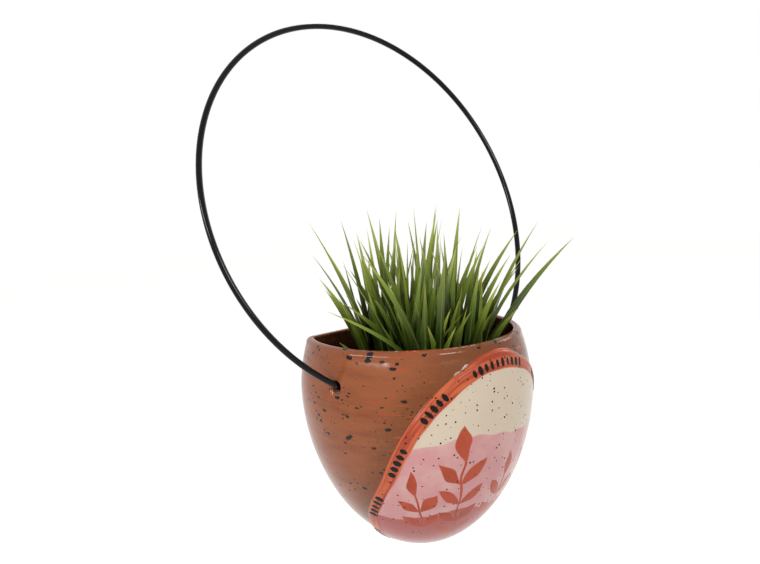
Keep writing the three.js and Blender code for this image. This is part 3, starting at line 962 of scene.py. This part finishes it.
def dry_foam(grass):
    """Dry floral foam, cut with a knife: matt, open-celled and crumbly, olive green, with darker patches
    painted in as the shade of the pits where cells of 0.8 mm have broken out."""
    material, tree = new_material("dry_floral_foam")
    place = add(tree, "TexCoord").node.outputs["Object"]
    cells = add(tree, "TexVoronoi", place, Scale=1250)
    crumbs = add(tree, "TexNoise", place, Scale=260, Detail=5)
    # painted shade: darker patches standing for the shade in the pits
    pit_painted_shade = add(tree, "MapRange", crumbs, 0.5, 0.72, **SMOOTH)
    tone = add(tree, "Mix", pit_painted_shade, grass.foam, linear("#2c3020"), data_type="RGBA")
    bump = add(tree, "Bump", Strength=0.7, Distance=0.0004, Height=cells)
    deep = add(tree, "Bump", Strength=0.8, Distance=0.001, Height=crumbs, Normal=bump)
    shader = add(tree, "BsdfPrincipled", tone, Roughness=0.95, IOR=1.4, Normal=deep)
    add(tree, "OutputMaterial", shader)
    return material


class PLANTER_OT_foam(bpy.types.Operator):
    """Makes the foam plug that holds the grass"""

    bl_idname = "planter.foam"
    bl_label = "Foam Plug"

    def execute(self, context):
        shape = bmesh.new()
        shape.from_mesh(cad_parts["foam_plug"].data)
        bmesh.ops.remove_doubles(shape, verts=shape.verts, dist=1e-6)
        blank = mesh_object("foam_blank", as_mesh(shape, "foam_blank"), [])
        remesh = blank.modifiers.new("cells", "REMESH")
        remesh.mode = "VOXEL"
        remesh.voxel_size = 0.0016
        mesh = finished_mesh(blank)
        for vert in mesh.vertices:
            pit = noise.noise(vert.co / (3 * MM)) + 0.5 * noise.noise(vert.co / (1.2 * MM))
            vert.co -= vert.normal * (0.3 + 0.35 * pit) * MM
        shade(mesh, 60)
        piece = mesh_object("cut_foam_plug", mesh, [dry_foam(context.scene.planter_grass)])
        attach(piece, "plant")
        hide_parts("foam_plug")
        return {"FINISHED"}


def blade_lines(pot, grass, number, centre, middle):
    """Middle lines of one bunch's blades, as (place, sideways direction, half width, share of the
    length, shade) for each point. Multiples of the golden angle and of fixed fractions spread the
    blades and their sizes evenly as their count goes up."""
    golden = math.pi * (3 - math.sqrt(5))
    circle = grass.foot_radius - grass.root_inset
    farthest = math.hypot(grass.spacing, grass.spacing) / 2 + circle
    outward = (centre - middle).to_2d()
    side_x, side_y = math.copysign(1, outward.x), math.copysign(1, outward.y)
    wall = pot.standoff - grass.wall_clearance + grass.forward
    lines = []
    for i in range(grass.blades + grass.fillers):
        filler = i - grass.blades
        count, rank, total, splay, start = number * grass.blades + i, i, grass.blades, 1.0, 0.0
        if filler >= 0:
            count = 4 * grass.blades + number * grass.fillers + filler
            rank, total, splay, start = filler, grass.fillers, grass.splay, 1.2
        turn = golden * rank + start
        root = Vector((math.cos(turn), math.sin(turn))) * circle * math.sqrt((rank + 0.5) / total)
        root += outward
        share = grass.shortest + (1 - grass.shortest) * (count * 0.618 % 1) ** 1.3
        bend = share**1.3
        lean = (root.length / farthest) ** 0.9
        reach = grass.spread * splay * bend * lean * (0.1 + (count * 0.755 % 1) ** 1.4)
        heading = math.atan2(root.y, root.x) + grass.stray * (2 * (count * 0.286 % 1) - 1)
        scatter = grass.scatter * bend * (count * 0.57 % 1)
        aside = 2 * math.pi * (count * 0.867 % 1)
        tip = root + reach * Vector((math.cos(heading), math.sin(heading)))
        tip += scatter * Vector((math.cos(aside), math.sin(aside)))
        if filler < 0:
            edge = grass.root_inset + grass.blade_gap
            tip.x = side_x * max(side_x * tip.x, edge)
            tip.y = side_y * max(side_y * tip.y, edge)
        tip.y = min(max(tip.y, -grass.front_reach), wall)
        away = (tip - root).to_3d()
        tall = grass.longest * share
        foot = middle + root.to_3d() - Vector((0, 0, 2 * MM))
        while filler >= 0 and not clears_the_lip(pot, foot, away, tall):
            away *= 0.9
        face = grass.face_turn * (2 * (count * 0.4512 % 1) - 1)
        lines.append(blade_line(grass, foot, away, tall, face, count * 0.3247 % 1))
    return lines


def on_blade(foot, away, tall, along):
    """Place on a blade's middle line, which bends away more towards its tip, and its tangent there."""
    rise = UP * math.sqrt(max(tall**2 - away.length_squared, 0))
    place = foot + away * (0.3 * along + 0.7 * along**2) + rise * along
    return place, (away * (0.3 + 1.4 * along) + rise).normalized()


def clears_the_lip(pot, foot, away, tall):
    """Whether a blade rises out of the pot without touching its wall."""
    for along in [step / 20 for step in range(1, 20)]:
        place, _ = on_blade(foot, away, tall, along)
        height = min(place.z, pot.rim_rise - pot.lip_round)
        room = pot_radius(pot, height, pot.wall) - 5 * MM
        if place.z < pot.rim_rise + 2 * MM and (
            math.hypot(place.x, place.y + pot.standoff) > room or place.y > -pot.wall - 3 * MM
        ):
            return False
    return True


def blade_line(grass, foot, away, tall, face, tone):
    """Points up one blade's middle, with its width and how it faces."""
    points = []
    for step in range(13):
        along = min(step / 12, 0.995)
        place, tangent = on_blade(foot, away, tall, along)
        facing = away.normalized()
        facing.rotate(Matrix.Rotation(face * (1 + 0.35 * along), 3, "Z"))
        side = tangent.cross(facing).normalized()
        half = grass.width / 2 * (0.7 + 2.2 * along) * (1 - along) ** 1.15
        points.append((place, side, half, along, tone))
    return points


def mesh_with_lines(foot, lines):
    """The foot's mesh with each blade's middle line added as edges, and its values as attributes."""
    shape = bmesh.new()
    shape.from_mesh(foot)
    sideways = shape.verts.layers.float_vector.new("sideways")
    layers = [shape.verts.layers.float.new(name) for name in ("half", "along", "tone")]
    for line in lines:
        last = None
        for place, side, *values in line:
            vert = shape.verts.new(place)
            vert[sideways] = side
            for layer, value in zip(layers, values):
                vert[layer] = value
            if last is not None:
                shape.edges.new((last, vert))
            last = vert
    return as_mesh(shape, "bunch_lines")


def grass_nodes():
    """Geometry Nodes: a folded strip of plastic swept up the middle line of each blade."""
    tree, given = new_group("grass_blades", {
        "Geometry": "Geometry", "Fold": "Float", "Thickness": "Float", "Material": "Material",
    })
    half = add(tree, "GeometryNodeInputNamedAttribute", "half", data_type="FLOAT")
    sideways = add(tree, "GeometryNodeInputNamedAttribute", "sideways", data_type="FLOAT_VECTOR")
    lines = add(tree, "GeometryNodeMeshToCurve", given["Geometry"], half)
    lines = add(tree, "GeometryNodeSetCurveNormal", lines, Normal=sideways, mode="FREE")
    outer = add(tree, "Math ADD", given["Fold"], given["Thickness"])
    outer = add(tree, "Math MULTIPLY", outer, -1.0)
    inner = add(tree, "Math SUBTRACT", given["Thickness"], given["Fold"])
    strip = add(
        tree, "GeometryNodeCurvePrimitiveQuadrilateral", mode="POINTS", Point_1=(-1, 0, 0),
        Point_2=add(tree, "CombineXYZ", Y=outer), Point_3=(1, 0, 0),
        Point_4=add(tree, "CombineXYZ", Y=inner),
    )
    own = add(tree, "GeometryNodeInputPosition")
    across = add(tree, "SeparateXYZ", own)
    strip = add(
        tree, "GeometryNodeStoreNamedAttribute", strip, Name="across", Value=across,
        data_type="FLOAT", domain="POINT",
    )
    blades = add(tree, "GeometryNodeCurveToMesh", lines, strip, half, True)
    foot = add(tree, "GeometryNodeDeleteGeometry", given["Geometry"], half, domain="POINT")
    whole = add(tree, "GeometryNodeJoinGeometry", foot)
    tree.links.new(blades, whole.node.inputs[0])
    solid = add(tree, "GeometryNodeRealizeInstances", whole)
    add(tree, "NodeGroupOutput", add(
        tree, "GeometryNodeSetMaterial", solid, Material=given["Material"]
    ))
    return tree


def grass_plastic(grass):
    """Moulded polyethylene grass: satin, dark green at the foot and paler green to yellow at the tips, with a
    pale midrib. The near black low on the blades is partly painted shade, where the bunch and the pot's wall
    shade them, and the pale midrib is partly a painted highlight along each blade's fold. Each blade is a
    little different in tone, and light glows in it."""
    material, tree = new_material("moulded_grass")
    along, across, tone = (
        add(tree, "Attribute", attribute_name=name).node.outputs["Fac"]
        for name in ("along", "across", "tone")
    )
    # colour up each blade: the plastic's own green grading to yellow at the tip, darkened towards the foot as
    # painted shade
    ramp = add(tree, "ValToRGB", along)
    stops = ramp.node.color_ramp.elements
    stops[0].position, stops[0].color = 0.30, grass.base
    stops[1].position, stops[1].color = 1.0, grass.tip
    stops.new(0.58).color = grass.middle
    stops.new(0.80).color = grass.late
    value = add(tree, "MapRange", tone, 0, 1, 0.6, 1.3)
    hue = add(tree, "MapRange", tone, 0, 1, 0.515, 0.485)
    varied = add(tree, "HueSaturation", Color=ramp, Value=value, Hue=hue)
    off = add(tree, "Math ABSOLUTE", across)
    # pale midrib along the fold, partly the plastic's own paler line and partly a painted highlight where the
    # keel catches light
    pale_midrib_and_painted_highlight = add(tree, "MapRange", off, 0.25, 0.0, 0, 0.3, **SMOOTH)
    tone_with_midrib = add(tree, "Mix", pale_midrib_and_painted_highlight, varied, linear("#8fa34e"), data_type="RGBA")
    shader = add(
        tree, "BsdfPrincipled", tone_with_midrib, Roughness=0.4, IOR=1.5, Specular_IOR_Level=0.3,
        Subsurface_Weight=0.06, Subsurface_Scale=0.002,
    )
    add(tree, "OutputMaterial", shader)
    return material


class PLANTER_OT_grass(bpy.types.Operator):
    """Makes the four bunches of grass"""

    bl_idname = "planter.grass"
    bl_label = "Grass Bunches"

    def execute(self, context):
        pot = context.scene.planter_pot
        grass = context.scene.planter_grass
        values = {"Fold": grass.fold, "Thickness": grass.thickness, "Material": grass_plastic(grass)}
        tree = grass_nodes()
        middle = Vector((0, -pot.standoff - grass.forward, -grass.foot_top))
        # a pointed stem, and on it the foot, a disc 4 mm thick
        edge = grass.foot_radius / MM
        profile = [
            (0, -33.7), (2.2, -33.3), (3, -31), (3, -4), (edge - 0.6, -4), (edge, -3.4),
            (edge, -0.8), (edge - 0.8, 0), (0, 0),
        ]
        bunches = (("back", "left"), ("back", "right"), ("front", "left"), ("front", "right"))
        for number, (row, side) in enumerate(bunches):
            side_x = 1.0 if side == "right" else -1.0
            side_y = 1.0 if row == "back" else -1.0
            centre = middle + Vector((side_x, side_y, 0)) * grass.spacing / 2
            foot = turned([(radius * MM, height * MM) for radius, height in profile], 48)
            foot.transform(Matrix.Translation(centre))
            lines = mesh_with_lines(foot, blade_lines(pot, grass, number, centre, middle))
            mesh = with_nodes("bunch", lines, tree, values)
            shade(mesh, 60)
            piece = mesh_object(f"grass_{row}_{side}", mesh, [])
            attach(piece, "plant")
            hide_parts(f"grass_bunch_{row}_{side}")
        return {"FINISHED"}


# ---------- stage ----------


def shown_rays(tree):
    """1 for the rays that show the background: camera rays, reflections and rays through a piece."""
    rays = add(tree, "LightPath").node.outputs
    shown = rays["Is Camera Ray"]
    for kind in ("Is Glossy Ray", "Is Transmission Ray"):
        shown = add(tree, "Math MAXIMUM", shown, rays[kind])
    return shown


class PLANTER_OT_stage(bpy.types.Operator):
    """Makes the pale floor, the studio light and the camera"""

    bl_idname = "planter.stage"
    bl_label = "Floor, Light and Camera"

    def execute(self, context):
        scene = context.scene
        scene.view_settings.view_transform = "Standard"
        # plain white paper, which the shown rays see as pure white where no shadow falls
        paper, tree = new_material("white_paper")
        matt = add(tree, "BsdfDiffuse", linear("#f2f2f0"))
        lit = add(tree, "AddShader", matt, add(tree, "Emission", linear("#ffffff"), 0.66))
        add(tree, "OutputMaterial", add(tree, "MixShader", shown_rays(tree), matt, lit))
        mesh = bpy.data.meshes.new("floor")
        half, low = 6.0, -0.62
        mesh.from_pydata(
            [(-half, -half, low), (half, -half, low), (half, half, low), (-half, half, low)],
            [], [(0, 1, 2, 3)],
        )
        mesh_object("floor", mesh, [paper])

        scene.world = bpy.data.worlds.new("studio")
        scene.world.use_nodes = True
        tree = scene.world.node_tree
        tree.nodes.clear()
        around, behind = (
            add(tree, "Background", linear("#ffffff"), strength) for strength in (0.38, 1.0)
        )
        add(tree, "OutputWorld", add(tree, "MixShader", shown_rays(tree), around, behind))

        target = Vector((0, -0.03, 0.03))
        distance = 1.4
        for name, direction, width, tall, power in (
            ("left_softbox", (-0.945, 0.0, 0.33), 1.05, 0.15, 12),
            ("front_softbox", (-0.06, -0.91, 0.41), 0.50, 0.26, 8.5),
            ("right_softbox", (0.88, -0.18, 0.44), 0.4, 0.4, 2),
            ("back_softbox", (0.55, 0.45, 0.70), 0.5, 0.4, 4),
        ):
            lamp = bpy.data.lights.new(name, "AREA")
            lamp.shape = "RECTANGLE"
            lamp.size = width
            lamp.size_y = tall
            lamp.energy = power
            holder = bpy.data.objects.new(name, lamp)
            aim = Vector(direction).normalized()
            holder.location = target + aim * distance
            holder.rotation_euler = aim.to_track_quat("Z", "Y").to_euler()
            scene.collection.objects.link(holder)

        # solved from the photograph: the ring is a true circle and the pot a turned body
        view = bpy.data.cameras.new("camera")
        view.lens = 42.51
        view.sensor_width = 36
        camera = bpy.data.objects.new("camera", view)
        heading = Matrix.Rotation(math.radians(-40.90), 4, "Z")
        look = Matrix.Rotation(math.radians(90 - 8.33), 4, "X")
        roll = Matrix.Rotation(math.radians(-2.94), 4, "Z")
        camera.rotation_euler = (heading @ look @ roll).to_euler()
        camera.location = (-0.4101, -0.4838, 0.1445)
        scene.collection.objects.link(camera)
        scene.camera = camera
        return {"FINISHED"}


class PLANTER_PT_panel(bpy.types.Panel):
    """Lists the planter's pieces"""

    bl_label = "Wall Planter"
    bl_idname = "PLANTER_PT_panel"
    bl_space_type = "VIEW_3D"
    bl_region_type = "UI"
    bl_category = "Wall Planter"

    def draw(self, context):
        for operator in OPERATORS:
            self.layout.operator(operator.bl_idname)


GROUPS = {
    "planter_pot": PotSizes,
    "planter_paint": PaintSizes,
    "planter_glazes": GlazeColours,
    "planter_hanger": HangerSizes,
    "planter_grass": GrassSizes,
}
OPERATORS = (
    PLANTER_OT_stage,
    PLANTER_OT_pot,
    PLANTER_OT_dashes,
    PLANTER_OT_ring,
    PLANTER_OT_caps,
    PLANTER_OT_foam,
    PLANTER_OT_grass,
)


def register():
    for cls in (*GROUPS.values(), *OPERATORS, PLANTER_PT_panel):
        bpy.utils.register_class(cls)
    for name, group in GROUPS.items():
        setattr(bpy.types.Scene, name, PointerProperty(type=group))


def unregister():
    for name in GROUPS:
        delattr(bpy.types.Scene, name)
    for cls in reversed((*GROUPS.values(), *OPERATORS, PLANTER_PT_panel)):
        bpy.utils.unregister_class(cls)


def main():
    """Builds every piece."""
    register()
    for operator in OPERATORS:
        getattr(bpy.ops.planter, operator.bl_idname.split(".")[1])()


if __name__ == "__main__":
    main()
